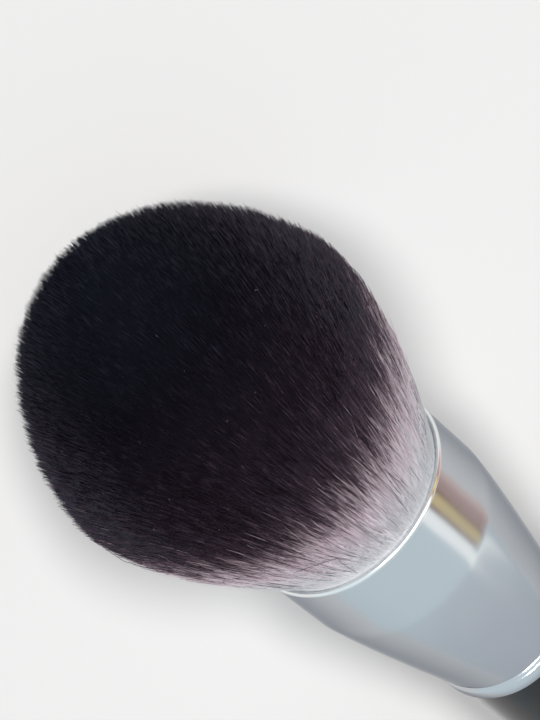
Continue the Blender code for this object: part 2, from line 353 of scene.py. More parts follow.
def turnedPiece(name, profile, steps, material):
    # profile is (radius, height) pairs. It starts and ends on the axis, or at the same point.
    bm = bmesh.new()
    rings = []
    for radius, height in profile:
        count = steps if radius > turning["joinedWithin"] else 1
        angles = [2 * math.pi * step / steps for step in range(count)]
        rings.append([bm.verts.new((radius * math.cos(a), radius * math.sin(a), height)) for a in angles])
    for upper, lower in zip(rings, rings[1:]):
        for step in range(steps):
            after = (step + 1) % steps
            corners = [upper[step % len(upper)], upper[after % len(upper)]]
            corners += [lower[after % len(lower)], lower[step % len(lower)]]
            bm.faces.new(list(dict.fromkeys(corners)))
    bmesh.ops.remove_doubles(bm, verts=bm.verts, dist=turning["joinedWithin"])
    bmesh.ops.recalc_face_normals(bm, faces=bm.faces)
    mesh = bpy.data.meshes.new(name)
    bm.to_mesh(mesh)
    bm.free()
    mesh.transform(brushPlace)
    mesh.materials.append(material)
    mesh.shade_smooth()
    mesh.set_sharp_from_angle(angle=math.radians(turning["sharpAngle"]))
    return inScene(name, mesh)


def spread(start, end, points):
    return [start + (end - start) * point / (points - 1) for point in range(points)]


def arc(centreRadius, centreHeight, radius, start, end, points):
    found = []
    for degrees in spread(start, end, points):
        angle = math.radians(degrees)
        found.append((centreRadius + radius * math.cos(angle), centreHeight + radius * math.sin(angle)))
    return found


# Ferrule
ferrule = {
    "beadProud": 0.0002,
    "beadArc": (180, -50),
    "shoulderRadius": 0.01405,
    "shoulderDepth": 0.0109,
    "coneEndRadius": 0.01055,
    "conePower": 1.2,
    "collarLength": 0.0025,
    "collarEdge": 0.0002,
    "edgeCut": 0.3,  # how deep the middle of that rounded edge lies, as a share of it
    "crimpDepth": 0.0005,
    "crimpWidth": 0.0012,
    "steps": 180,
    "beadPoints": 18,
    "tubePoints": 10,
    "conePoints": 40,
    "crimpPoints": 13,
    "colour": (0.56, 0.585, 0.61),
    # a painted highlight: the bead is coloured paler than the rest of the plating, so that it shows as a
    # bright line
    "beadHighlightColour": (0.84, 0.86, 0.865),
    "beadHighlightEdge": (-0.0009, -0.0006),  # the heights between which the bead's painted highlight starts
    "edgeTint": (0.42, 0.44, 0.47),
    "roughness": (0.14, 0.21),  # where it is clean and where it is smudged
    # a noise has a scale and a detail, and a bump has a strength and a depth
    "smudgeNoise": (90.0, 4.0),
    "smudged": (0.35, 0.7),
    "waveNoise": (70.0, 1.0),
    "waveBump": (0.4, 0.0004),
}
coneEnd = brush["ferruleLength"] - ferrule["collarLength"]


def ferruleRadius(depth):
    tube = ferrule["shoulderRadius"] - brush["mouthRadius"]
    if depth <= ferrule["shoulderDepth"]:
        return brush["mouthRadius"] + tube * depth / ferrule["shoulderDepth"]
    along = min(1.0, (depth - ferrule["shoulderDepth"]) / (coneEnd - ferrule["shoulderDepth"]))
    drop = ferrule["shoulderRadius"] - ferrule["coneEndRadius"]
    return ferrule["shoulderRadius"] - drop * along ** ferrule["conePower"]


def crimpLine(inset):
    points = []
    for along in spread(-1, 1, ferrule["crimpPoints"]):
        passed = (1 + math.sin(along * math.pi / 2)) / 2
        body = ferrule["coneEndRadius"] + (brush["collarRadius"] - ferrule["coneEndRadius"]) * passed
        dip = ferrule["crimpDepth"] * math.cos(along * math.pi / 2) ** 2
        points.append((body - dip - inset, -coneEnd - along * ferrule["crimpWidth"] / 2))
    return points


def chromeMaterial():
    material, tree, shader = newMaterial("chromedTube")
    spot = objectSpot(tree)
    inputs = {"Value": noise(tree, spot, *ferrule["smudgeNoise"])}
    inputs["From Min"], inputs["From Max"] = ferrule["smudged"]
    inputs["To Min"], inputs["To Max"] = ferrule["roughness"]
    rough = put(tree, "ShaderNodeMapRange", inputs)
    tree.links.new(rough.outputs[0], shader.inputs["Roughness"])
    addBump(tree, shader, noise(tree, spot, *ferrule["waveNoise"]), *ferrule["waveBump"])
    height = brushSpot(tree)[-1]
    # a painted highlight: the bead's rim gets a paler colour than the tube
    bead = height.rising(*ferrule["beadHighlightEdge"])
    platingAndBeadHighlight = blend(tree, bead, (*ferrule["colour"], 1), (*ferrule["beadHighlightColour"], 1))
    tree.links.new(platingAndBeadHighlight, shader.inputs["Base Color"])
    shader.inputs["Metallic"].default_value = 1.0
    shader.inputs["Specular Tint"].default_value = (*ferrule["edgeTint"], 1)
    return material


def addFerrule():
    bead = (brush["wall"] + ferrule["beadProud"]) / 2
    bore = brush["mouthRadius"] - brush["wall"]
    beadLine = arc(bore + bead, -bead, bead, *ferrule["beadArc"], ferrule["beadPoints"])
    depths = spread(2 * bead, ferrule["shoulderDepth"], ferrule["tubePoints"])
    coneStop = coneEnd - ferrule["crimpWidth"] / 2
    depths += spread(ferrule["shoulderDepth"], coneStop, ferrule["conePoints"])[1:]
    outer = [(ferruleRadius(depth), -depth) for depth in depths]
    inner = [(ferruleRadius(depth) - brush["wall"], -depth) for depth in depths]
    bottom = -brush["ferruleLength"]
    edge = ferrule["collarEdge"]
    cut = edge * ferrule["edgeCut"]
    end = [
        (brush["collarRadius"], bottom + edge),
        (brush["collarRadius"] - cut, bottom + cut),
        (brush["collarRadius"] - edge, bottom),
        (brush["collarRadius"] - brush["wall"], bottom),
    ]
    profile = beadLine + outer + crimpLine(0) + end
    profile += crimpLine(brush["wall"])[::-1] + inner[::-1] + beadLine[:1]
    piece = turnedPiece("ferrule_tube", profile, ferrule["steps"], chromeMaterial())
    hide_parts("ferrule")
    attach(piece, "root")
    print("ferrule made")


# Handle
handle = {
    "gripRadius": 0.0107,
    "gripDistance": 0.0260,
    "tailRadius": 0.0056,
    "buttRounding": 0.0042,
    "buttFlatRadius": 0.0030,
    "tenonRadius": 0.00975,
    "tenonLength": 0.0168,
    "tenonChamfer": 0.0008,
    "steps": 144,
    "bodyPoints": 70,
    "buttPoints": 14,
    "colour": (0.008, 0.008, 0.010),
    "deepColour": (0.014, 0.011, 0.012),
    "deep": (0.3, 0.7),
    "specular": 0.22,
    "roughness": 0.05,
    "hazeNoise": (140.0, 5.0),
    "haze": (0.4, 0.7),
    "hazeRoughness": 0.06,
    "hairlineNoise": (1.0, 3.0),
    "hairlineStretch": (90, 2600, 2600),
    "hairlines": (0.62, 0.70),
    "hairlineRoughness": 0.10,
    "hairlineBump": (0.05, 0.00002),
}


def eased(start, end, share):
    return start + (end - start) * (1 - math.cos(math.pi * share)) / 2


def handleRadius(distance):
    neck = brush["collarRadius"] - brush["wall"] - brush["clearance"]
    if distance < handle["gripDistance"]:
        return eased(neck, handle["gripRadius"], distance / handle["gripDistance"])
    taper = brush["handleLength"] - handle["buttRounding"] - handle["gripDistance"]
    return eased(handle["gripRadius"], handle["tailRadius"], (distance - handle["gripDistance"]) / taper)


def lacquerMaterial():
    material, tree, shader = newMaterial("blackLacquer")
    spot = objectSpot(tree)
    haze = noise(tree, spot, *handle["hazeNoise"])
    stretched = put(tree, "ShaderNodeMapping", {"Vector": spot, "Scale": handle["hairlineStretch"]})
    hairlines = noise(tree, stretched.outputs[0], *handle["hairlineNoise"])
    wearAndSheen = hairlines.rising(*handle["hairlines"]) * handle["hairlineRoughness"]
    wearAndSheen = wearAndSheen + haze.rising(*handle["haze"]) * handle["hazeRoughness"]
    feed(tree, shader.inputs["Roughness"], wearAndSheen + handle["roughness"])
    addBump(tree, shader, hairlines, *handle["hairlineBump"])
    depth = haze.rising(*handle["deep"])
    tone = blend(tree, depth, (*handle["colour"], 1), (*handle["deepColour"], 1))
    tree.links.new(tone, shader.inputs["Base Color"])
    shader.inputs["Specular IOR Level"].default_value = handle["specular"]
    return material


def addHandle():
    end = brush["ferruleLength"] + brush["handleLength"]
    top = -(brush["ferruleLength"] - handle["tenonLength"])
    tenon = [
        (0, top),
        (handle["tenonRadius"] - handle["tenonChamfer"], top),
        (handle["tenonRadius"], top - handle["tenonChamfer"]),
    ]
    distances = spread(0, brush["handleLength"] - handle["buttRounding"], handle["bodyPoints"])
    body = [(handleRadius(distance), -brush["ferruleLength"] - distance) for distance in distances]
    butt = []
    for angle in spread(0, math.pi / 2, handle["buttPoints"])[1:]:
        reach = handle["tailRadius"] - handle["buttFlatRadius"]
        radius = handle["buttFlatRadius"] + reach * math.cos(angle)
        butt.append((radius, handle["buttRounding"] * (1 - math.sin(angle)) - end))
    profile = tenon + crimpLine(brush["wall"] + brush["clearance"]) + body + butt + [(0, -end)]
    piece = turnedPiece("handle_body", profile, handle["steps"], lacquerMaterial())
    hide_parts("handle")
    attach(piece, "root")
    print("handle made")


# The tuft's shape
tuft = {
    "rootRadius": 0.01328,
    "rootStart": -0.0004,
    "flarePower": 1.2,
    "crownLengthPower": 1.41,
    "crownWidthPower": 2.24,
    "lean": 0.00075,  # to one side, from the belly up
    "proud": 0.00012,  # how far a fibre may stand outside the belly
    "tableGap": 0.00012,
    "bedStart": -0.0005,
    "bedDepth": 0.0011,
    "bedRings": 64,
    "bedSteps": 96,
}


def upToBelly(height):
    return min(1.0, max(0.0, height) / brush["bellyHeight"])


def headRadius(height):
    # the tuft's outline: a flare up to the belly, then a soft dome
    flare = math.sin(math.pi / 2 * upToBelly(height) ** tuft["flarePower"])
    widest = tuft["rootRadius"] + (brush["headRadius"] - tuft["rootRadius"]) * flare
    domeLength = brush["headLength"] - brush["bellyHeight"]
    above = min(1.0, max(0.0, (height - brush["bellyHeight"]) / domeLength))
    return widest * (1 - above ** tuft["crownLengthPower"]) ** (1 / tuft["crownWidthPower"])


def leanAt(height):
    return tuft["lean"] * math.sin(math.pi / 2 * upToBelly(height))


# The fibres' colours. Their map has one column for each kind of fibre, side by side, and up a column runs
# the height, from 0 at the mouth to 1 at the head's full length. Starts and ends are ranges of that height.
fibreColours = {
    # height along the fibre in millimetres, and its colour there; the blue in the top two stops is a painted
    # sheen on the near-black dye
    "stops": (
        (0.0, (0.75, 0.77, 0.80)),
        (3.0, (0.91, 0.88, 0.93)),
        (9.0, (0.93, 0.82, 0.89)),
        (11.6, (0.82, 0.68, 0.75)),
        (13.8, (0.38, 0.275, 0.33)),
        (16.2, (0.105, 0.068, 0.090)),
        (20.0, (0.064, 0.043, 0.062)),
        (28.0, (0.030, 0.0205, 0.0320)),
        (36.0, (0.0120, 0.0105, 0.0175)),
        (45.0, (0.0130, 0.0155, 0.0260)),
    ),
    "roughness": 0.55,
    "specular": 0.06,
    "columns": 128,
    "columnEdge": 0.2,  # how much of a column stays empty on either side
    # the columns from here on are fibres with a painted sheen: greyer and bluer, unevenly so, and less
    # towards the tips
    "sheenFrom": 80,
    "sheenColour": (0.102, 0.102, 0.138),
    "sheenStart": (0.33, 0.45),
    "sheenLevel": 0.62,
    "sheenSpecks": 1.6,
    "sheenEnd": (0.56, 0.80),
    "sheenLoss": 0.75,
    # how much the brightness differs from fibre to fibre, where they are pale and where they are dark
    "darkStart": (0.25, 0.45),
    "paleDifference": 0.12,
    "darkDifference": 1.3,
    "tipStart": (0.56, 0.72),
    "tipEvenness": 0.35,
    # and along each fibre, most of all where the dye starts
    "specksPerHead": 95.0,
    "speckStep": 17.3,
    "paleSpecks": 0.08,
    "darkSpecks": 2.4,
    "startSpecks": 2.2,
    "specksEnd": (0.50, 0.66),
    # a few glint
    "glintChance": (0.90, 0.91),
    "glint": 0.9,
    # painted shade: how much the core under the fibres is darkened
    "bedShade": 0.4,
}


def fibreMaterial(name):
    material, tree, shader = newMaterial(name)
    ramp = put(tree, "ShaderNodeValToRGB")
    stops = ramp.color_ramp.elements
    for number, (height, colour) in enumerate(fibreColours["stops"]):
        stop = stops[number] if number < 2 else stops.new(1.0)
        stop.position = height / 1000 / brush["headLength"]
        stop.color = (*colour, 1)
    shader.inputs["Roughness"].default_value = fibreColours["roughness"]
    return material, tree, shader, ramp


def strandMaterial():
    material, tree, shader, ramp = fibreMaterial("fibreDyeAndSheen")
    shader.inputs["Specular IOR Level"].default_value = fibreColours["specular"]
    fibreMap = put(tree, "ShaderNodeUVMap", uv_map="OFBake")
    sideways, dye = partsOf(tree, fibreMap.outputs[0])[:2]
    feed(tree, ramp.inputs["Fac"], dye)
    column = (sideways * fibreColours["columns"]).floored()
    draw = put(tree, "ShaderNodeTexWhiteNoise", {"W": column + 0.5}, noise_dimensions="1D")
    chance = Field(tree, draw.outputs["Value"])
    place = dye * fibreColours["specksPerHead"] + column * fibreColours["speckStep"]
    specks = put(tree, "ShaderNodeTexNoise", {"W": place, "Scale": 1.0}, noise_dimensions="1D")
    speck = Field(tree, specks.outputs["Fac"]) - 0.5

    dark = dye.rising(*fibreColours["darkStart"])
    difference = dark * fibreColours["darkDifference"] * (1 - dye.rising(*fibreColours["tipStart"]) * fibreColours["tipEvenness"])
    shade = 1 + (chance - 0.5) * (difference + fibreColours["paleDifference"])
    shade = shade + chance.rising(*fibreColours["glintChance"]) * dark * fibreColours["glint"]
    atStart = dark * fibreColours["startSpecks"] * (1 - dye.rising(*fibreColours["specksEnd"]))
    shade = shade + speck * (dark * fibreColours["darkSpecks"] + fibreColours["paleSpecks"] + atStart)
    tint = put(tree, "ShaderNodeHueSaturation", {"Color": ramp.outputs["Color"], "Value": shade})

    # painted sheen: on some fibres the colour is blended towards a bluish grey
    share = column.over(fibreColours["sheenFrom"] - 0.5) * dye.rising(*fibreColours["sheenStart"])
    share = share * (1 - dye.rising(*fibreColours["sheenEnd"]) * fibreColours["sheenLoss"])
    share = (share * (speck * fibreColours["sheenSpecks"] + fibreColours["sheenLevel"])).atLeast(0).atMost(1)
    withSheen = blend(tree, share, tint.outputs[0], (*fibreColours["sheenColour"], 1))
    tree.links.new(withSheen, shader.inputs["Base Color"])
    return material


def bedMaterial():
    material, tree, shader, ramp = fibreMaterial("fibreBed")
    shader.inputs["Specular IOR Level"].default_value = 0.0
    height = brushSpot(tree)[-1]
    feed(tree, ramp.inputs["Fac"], height / brush["headLength"])
    # painted shade: the core's colours are darkened
    deep = put(tree, "ShaderNodeHueSaturation", {"Color": ramp.outputs["Color"], "Value": fibreColours["bedShade"]})
    tree.links.new(deep.outputs[0], shader.inputs["Base Color"])
    return material


# How the fibres grow
growth = {
    "fibreRadius": 0.000043,
    "tipTaper": 0.75,
    # the shares of its height by which a fibre, and a clump with its fibres, may end short of the outline
    "sunk": 0.020,
    "clumpSunk": 0.014,
    "domeEnd": 0.9999,  # just short of the very top, where the outline has no width
    # how early a fibre swings outwards, and how much less so with its tip above this height
    "bulge": 1.25,
    "bulgeLoss": 0.5,
    "bulgeLossFrom": 0.020,
    "bulgeLossOver": 0.010,
    "driftDown": 0.7,  # more tips stray downwards than upwards
    "pressed": 0.0005,  # how unevenly the table presses the lowest fibres flat
    # how much the height where the dye starts varies: by fibre, by clump and in streaks round the tuft
    "dyeByFibre": 0.0044,
    "dyeByClump": 0.0034,
    "dyeByStreak": 0.009,
    "streaks": 14.0,
    "streakDetail": 3.0,
    # how much higher up it starts: everywhere, on one side, and on both sides
    "later": 0.0012,
    "laterOneSide": 0.0004,
    "laterSides": 0.0060,
    # nearly half of the fibres are darker towards their own tips
    "darkTipChance": (0.54, 0.62),
    "darkTip": 0.0066,
    # a few are dyed from much lower down, and a few from higher up
    "earlyShare": 0.06,
    "early": 0.009,
    "lateShare": 0.10,
    "late": 0.006,
    "mapEdge": 0.004,  # how far the dye's height stays from both ends of the map
    "columnShort": 0.01,  # keeps the highest chance within the last column
    "ownKindShare": 0.45,  # the others are of their clump's kind
    # where the fibres with the painted sheen are, by the square of the sine of their turn, and how many of
    # them
    "sheenSides": (0.25, 0.70),
    "sheenShare": 0.66,
}


def strandInputs(tree):
    counts = {"Strands": 1000, "Steps": 4, "Seed": 1}
    sizes = {
        "First Turn": 0.0,
        "Turn Share": 1.0,
        "Lowest Tip": 0.020,
        "Highest Tip": brush["headLength"],
        "Tip Bias": 1.0,
        "Shown Length": 0.006,
        "Fibre Radius": growth["fibreRadius"],
        "Root Radius": tuft["rootRadius"],
        "Head Radius": brush["headRadius"],
        "Head Length": brush["headLength"],
        "Belly Height": brush["bellyHeight"],
        "Root Spread": 0.07,
        "Clump Size": 0.0006,
        "Clumping": 0.32,
        "Stray": 0.00028,
        "Kink": 0.0,
        "Sway": 0.0,
        "Mouth Height": mouth.z,
        "Tilt": math.asin(tipsWay.z),
    }
    for kind, values in (("NodeSocketInt", counts), ("NodeSocketFloat", sizes)):
        for name, value in values.items():
            socket = tree.interface.new_socket(name, in_out="INPUT", socket_type=kind)
            socket.default_value = value
    tree.interface.new_socket("Material", in_out="INPUT", socket_type="NodeSocketMaterial")
    given = put(tree, "NodeGroupInput")
    return {name: Field(tree, given.outputs[name]) for name in (*counts, *sizes, "Material")}


class Strands:
    # The fibres' points, one for each step of each fibre
    def __init__(self, tree):
        self.tree = tree
        self.size = size = strandInputs(tree)
        self.index = Field(tree, put(tree, "GeometryNodeInputIndex").outputs[0])
        # the small number keeps the division from falling just short of a whole one
        self.fibre = (self.index / size["Steps"] + 0.0001).floored()
        self.along = (self.index - self.fibre * size["Steps"]) / (size["Steps"] - 1)
        bias = self.chance(0) ** size["Tip Bias"]
        self.tipHeight = size["Lowest Tip"] + (size["Highest Tip"] - size["Lowest Tip"]) * bias
        self.turn = (size["First Turn"] + size["Turn Share"] * self.chance(1)) * (2 * math.pi)
        outline = self.flareAt(self.tipHeight) * self.crownAt(self.tipHeight)

        # tips gather in small pointed clumps, some a little longer than others
        self.tip = onRing(tree, outline, self.turn, self.tipHeight)
        scaled = scaledBy(tree, self.tip, size["Clump Size"] ** -1)
        cells = put(tree, "ShaderNodeTexVoronoi", {"Vector": scaled, "Scale": 1.0})
        self.clumpMiddle = scaledBy(tree, cells.outputs["Position"], size["Clump Size"])
        self.clumpChances = partsOf(tree, cells.outputs["Color"])
        sunk = 1 - self.chance(2) ** 2 * growth["sunk"] - self.clumpChances[1] * growth["clumpSunk"]
        self.tipRadius = outline * sunk
        tipEnd = self.tipHeight * sunk
        start = (tipEnd - size["Shown Length"]).atLeast(tuft["rootStart"])
        self.height = start + (tipEnd - start) * self.along
        self.share = (self.height / tipEnd).atLeast(0)

    def chance(self, number):
        # the same random number, from 0 to 1, at every step of a fibre
        inputs = {"ID": self.fibre, "Seed": self.size["Seed"] * 16 + number}
        return Field(self.tree, put(self.tree, "FunctionNodeRandomValue", inputs).outputs[1])

    def upToBelly(self, height):
        return (height / self.size["Belly Height"]).atLeast(0).atMost(1)

    def flareAt(self, height):
        flare = (self.upToBelly(height) ** tuft["flarePower"] * (math.pi / 2)).sine()
        root = self.size["Root Radius"]
        return root + (self.size["Head Radius"] - root) * flare

    def crownAt(self, height):
        belly = self.size["Belly Height"]
        share = ((height - belly) / (self.size["Head Length"] - belly)).atLeast(0).atMost(growth["domeEnd"])
        return (1 - share ** tuft["crownLengthPower"]) ** (1 / tuft["crownWidthPower"])

    def rootRadius(self):
        size = self.size
        inner = (1 - size["Root Spread"]) * self.crownAt(self.tipHeight)
        outer = size["Root Spread"] * (1 - (self.tipHeight / size["Belly Height"]).atMost(1))
        return size["Root Radius"] * (inner + outer)

    def path(self):
        # where the points are before the table presses on them
        tree, size, share = self.tree, self.size, self.share
        late = ((self.tipHeight - growth["bulgeLossFrom"]) / growth["bulgeLossOver"]).atLeast(0).atMost(1)
        bulge = growth["bulge"] - growth["bulgeLoss"] * late
        root = self.rootRadius()
        radius = root + (self.tipRadius - root) * (bulge * share - (bulge - 1) * share * share)
        turn = self.turn + (self.chance(11) - 0.5) * size["Sway"] * (share * math.pi).sine()
        spot = onRing(tree, radius, turn, self.height)
        # each leans to the middle of its clump, strays a little and has small kinks
        toMiddle = joined(tree, "SUBTRACT", self.clumpMiddle, self.tip)
        leaning = scaledBy(tree, toMiddle, size["Clumping"] * share ** 3)
        driftX, driftY = [(self.chance(number) - 0.5) * 2 for number in (3, 4)]
        drift = vectorOf(tree, driftX, driftY, self.chance(5) - growth["driftDown"])
        straying = scaledBy(tree, drift, size["Stray"] * share ** 2)
        inputs = {"ID": self.index, "Seed": size["Seed"]}
        wild = put(tree, "FunctionNodeRandomValue", inputs, data_type="FLOAT_VECTOR")
        wild.inputs["Min"].default_value = (-1, -1, 0)
        wild.inputs["Max"].default_value = (1, 1, 0)
        kink = scaledBy(tree, wild.outputs["Value"], size["Kink"] * (share * 4).atMost(1))
        for change in (leaning, straying, kink):
            spot = joined(tree, "ADD", spot, change)
        return spot

    def place(self):
        # inside the belly's width, over the table and leaning to one side
        far, beside, high = partsOf(self.tree, self.path())
        widest = self.size["Head Radius"] + tuft["proud"]
        inwards = (widest / (far * far + beside * beside) ** 0.5).atMost(1)
        gap = tuft["tableGap"] + self.chance(6) * growth["pressed"]
        tilt = self.size["Tilt"]
        floorAt = (self.size["Mouth Height"] - gap + high * tilt.sine()) / tilt.cosine()
        lean = (self.upToBelly(high) * (math.pi / 2)).sine() * tuft["lean"]
        return vectorOf(self.tree, (far * inwards).atMost(floorAt), beside * inwards + lean, high)

    def dye(self):
        inputs = {"W": self.turn * growth["streaks"], "Scale": 1.0, "Detail": growth["streakDetail"]}
        noises = put(self.tree, "ShaderNodeTexNoise", inputs, noise_dimensions="1D")
        streak = Field(self.tree, noises.outputs[0])
        shift = (self.chance(7) - 0.5) * growth["dyeByFibre"] + (streak - 0.5) * growth["dyeByStreak"]
        shift = shift + (self.clumpChances[0] - 0.5) * growth["dyeByClump"]
        side = self.turn.sine()
        shift = shift - side * growth["laterOneSide"] - side ** 2 * growth["laterSides"] - growth["later"]
        darkTip = self.chance(12).rising(*growth["darkTipChance"]) * self.share ** 3
        shift = shift + darkTip * growth["darkTip"]
        early = (self.chance(8) - (1 - growth["earlyShare"])).atLeast(0) / growth["earlyShare"]
        late = (self.chance(9) - (1 - growth["lateShare"])).atLeast(0) / growth["lateShare"]
        height = self.height + shift + early * growth["early"] - late * growth["late"]
        return (height / self.size["Head Length"]).atLeast(growth["mapEdge"]).atMost(1 - growth["mapEdge"])

    def column(self):
        # part of each clump is of one kind, and both sides of the head have fibres with a painted sheen
        # among the others
        own = self.chance(10)
        kind = own + (self.clumpChances[2] - own) * self.chance(14).over(growth["ownKindShare"])
        short = growth["columnShort"]
        plain = (kind * (fibreColours["sheenFrom"] - short)).floored()
        # painted sheen: these columns are the fibres that get the bluish-grey sheen
        wearAndSheen = fibreColours["sheenFrom"] + (kind * (fibreColours["columns"] - fibreColours["sheenFrom"] - short)).floored()
        sides = (self.turn.sine() ** 2).rising(*growth["sheenSides"])
        return plain + (wearAndSheen - plain) * (sides * growth["sheenShare"]).over(self.chance(13))


def kept(tree, geometry, name, value, kind, domain):
    # the geometry with this value stored in it
    inputs = {"Geometry": geometry, "Name": name}
    node = put(tree, "GeometryNodeStoreNamedAttribute", inputs, data_type=kind, domain=domain)
    feed(tree, node.inputs["Value"], value)
    return node.outputs[0]


def recalled(tree, name, kind):
    return put(tree, "GeometryNodeInputNamedAttribute", {"Name": name}, data_type=kind).outputs[0]


def strandTree():
    tree = bpy.data.node_groups.new("strandTree", "GeometryNodeTree")
    tree.interface.new_socket("Geometry", in_out="OUTPUT", socket_type="NodeSocketGeometry")
    strands = Strands(tree)
    size = strands.size
    points = {"Count": size["Strands"] * size["Steps"], "Position": strands.place()}
    dots = put(tree, "GeometryNodePoints", points).outputs[0]
    facts = vectorOf(tree, strands.column(), strands.dye(), strands.along)
    dots = kept(tree, dots, "fibreMap", facts, "FLOAT_VECTOR", "POINT")
    curves = put(tree, "GeometryNodePointsToCurves", {"Points": dots, "Curve Group ID": strands.fibre})
    column, dye, along = partsOf(tree, recalled(tree, "fibreMap", "FLOAT_VECTOR"))
    # three sides, each with its own part of the fibre's column
    section = put(tree, "GeometryNodeCurvePrimitiveCircle", {"Resolution": 3, "Radius": 1.0}).outputs[0]
    corner = put(tree, "GeometryNodeInputIndex").outputs[0]
    section = kept(tree, section, "fibreSide", corner, "FLOAT", "POINT")
    skin = put(tree, "GeometryNodeCurveToMesh", {
        "Curve": curves.outputs[0],
        "Profile Curve": section,
        "Scale": size["Fibre Radius"] * (1 - along ** 3 * growth["tipTaper"]),
        "Fill Caps": True,
    }).outputs[0]
    side = Field(tree, recalled(tree, "fibreSide", "FLOAT"))
    edge = fibreColours["columnEdge"]
    across = (column + edge + side * (0.5 - edge)) / fibreColours["columns"]
    skin = kept(tree, skin, "OFBake", vectorOf(tree, across, dye, 0.0), "FLOAT2", "CORNER")
    for name in ("fibreMap", "fibreSide"):
        skin = put(tree, "GeometryNodeRemoveAttribute", {"Geometry": skin, "Name": name}).outputs[0]
    smooth = put(tree, "GeometryNodeSetShadeSmooth", {"Geometry": skin})
    whole = put(tree, "GeometryNodeRealizeInstances", {"Geometry": smooth.outputs[0]})
    inputs = {"Geometry": whole.outputs[0], "Material": size["Material"]}
    dressed = put(tree, "GeometryNodeSetMaterial", inputs)
    put(tree, "NodeGroupOutput", {"Geometry": dressed.outputs[0]})
    return tree


def grown(name, tree, values):
    # runs the tree with these inputs and keeps its result as a plain mesh in the brush's place
    blank = inScene(name + "Seed", bpy.data.meshes.new(name + "Seed"))
    modifier = blank.modifiers.new("strands", "NODES")
    modifier.node_group = tree
    for item in tree.interface.items_tree:
        if item.in_out == "INPUT" and item.name in values:
            modifier[item.identifier] = values[item.name]
    graph = bpy.context.evaluated_depsgraph_get()
    mesh = bpy.data.meshes.new_from_object(blank.evaluated_get(graph))
    bpy.data.objects.remove(blank)
    mesh.name = name
    mesh.transform(brushPlace)
    return inScene(name, mesh)


def addBed():
    # a core just under the fibres' ends, in the fibres' colours darkened by painted shade
    angles = spread(0, math.pi / 2, tuft["bedRings"])
    heights = [brush["headLength"] * math.sin(angle) for angle in angles]
    line = [(headRadius(height), height) for height in heights]
    profile = [(0, tuft["bedStart"]), (tuft["rootRadius"] - tuft["bedDepth"], tuft["bedStart"])]
    for before, here, after in zip(line, line[1:], line[2:]):
        wider, higher = after[0] - before[0], after[1] - before[1]
        sunk = tuft["bedDepth"] / math.hypot(wider, higher)
        profile.append((here[0] - sunk * higher, here[1] + sunk * wider))
    profile = [point for point in profile if point[0] >= 0]
    profile.append((0, profile[-1][1]))
    piece = turnedPiece("tuft_bed", profile, tuft["bedSteps"], bedMaterial())
    upright = brushPlace.inverted()
    for vertex in piece.data.vertices:
        vertex.co += leanAt((upright @ vertex.co).z) * acrossWay
        vertex.co.z = max(vertex.co.z, tuft["bedDepth"])
    return piece


# Loose fibres that lie on the tuft, and lint. Pairs of numbers are ranges to draw from.
strays = {
    "seed": 5,
    # how far the fibres bow out near the mouth
    "bow": 0.00036,
    "bowLength": 0.012,
    # a long bent one near the mouth: height in millimetres, and turn in degrees
    "bent": {
        "line": (
            (10.3, 150.4), (9.7, 155.3), (8.9, 159.9), (7.7, 164.0),
            (5.8, 162.1), (3.5, 160.5), (1.3, 158.8),
        ),
        "radius": 0.000030,
        "lift": 0.0004,
        "column": 40,
        "dye": 0.45,
    },
    # short ones across the others
    "short": {
        "count": 34,
        "radius": 0.000030,
        "height": (0.001, 0.020),
        "heading": (0.1, 0.9),
        "steps": (4, 7),
        "stride": (0.0007, 0.0014),
        "leastLift": 0.0001,
        "lift": (0.0001, 0.0004),
        "straightening": 0.8,
        "wander": (-0.3, 0.3),
        "dyes": (0.36, 0.42, 0.52),
    },
    # thin dark ones that run up from the mouth over the pale ones
    "rising": {
        "count": 190,
        "radius": 0.000018,
        "points": 7,
        "drift": (-0.06, 0.06),
        "mouth": 0.0002,  # where half of them start
        "start": (0.001, 0.006),
        "end": (0.010, 0.016),
        "lift": (0.0001, 0.0004),
        "dye": (0.325, 0.40),
    },
    "lint": {
        "count": 60,
        "radius": 0.000010,
        "points": 6,
        "height": (0.45, 0.97),  # shares of the head's length
        "curl": (1.5, 5),
        "size": (0.00005, 0.00013),
        "lift": 0.00008,
        "dye": 0.312,
    },
}


def onTuft(height, turn, lift):
    bow = strays["bow"] * math.sin(math.pi * min(1.0, max(0.0, height) / strays["bowLength"]))
    radius = headRadius(height) + bow + lift
    return brushPlace @ Vector((radius * math.cos(turn), radius * math.sin(turn) + leanAt(height), height))


def bentHair():
    hair = strays["bent"]
    points = [onTuft(height / 1000, math.radians(turn), hair["lift"]) for height, turn in hair["line"]]
    return [(points, hair["radius"], hair["column"], hair["dye"])]


def shortHairs(draw):
    hair = strays["short"]
    threads = []
    for number in range(hair["count"]):
        height = draw.uniform(*hair["height"])
        turn = draw.uniform(0, 2 * math.pi)
        heading = draw.choice((-1, 1)) * draw.uniform(*hair["heading"])
        steps = draw.randint(*hair["steps"])
        points = []
        for step in range(steps):
            arch = math.sin(math.pi * step / (steps - 1))
            points.append(onTuft(height, turn, hair["leastLift"] + draw.uniform(*hair["lift"]) * arch))
            stride = draw.uniform(*hair["stride"])
            height = height + stride * math.cos(heading)
            turn = turn + stride * math.sin(heading) / headRadius(height)
            heading = heading * hair["straightening"] + draw.uniform(*hair["wander"])
        dye = draw.choice(hair["dyes"])
        threads.append((points, hair["radius"], draw.randrange(fibreColours["sheenFrom"]), dye))
    return threads


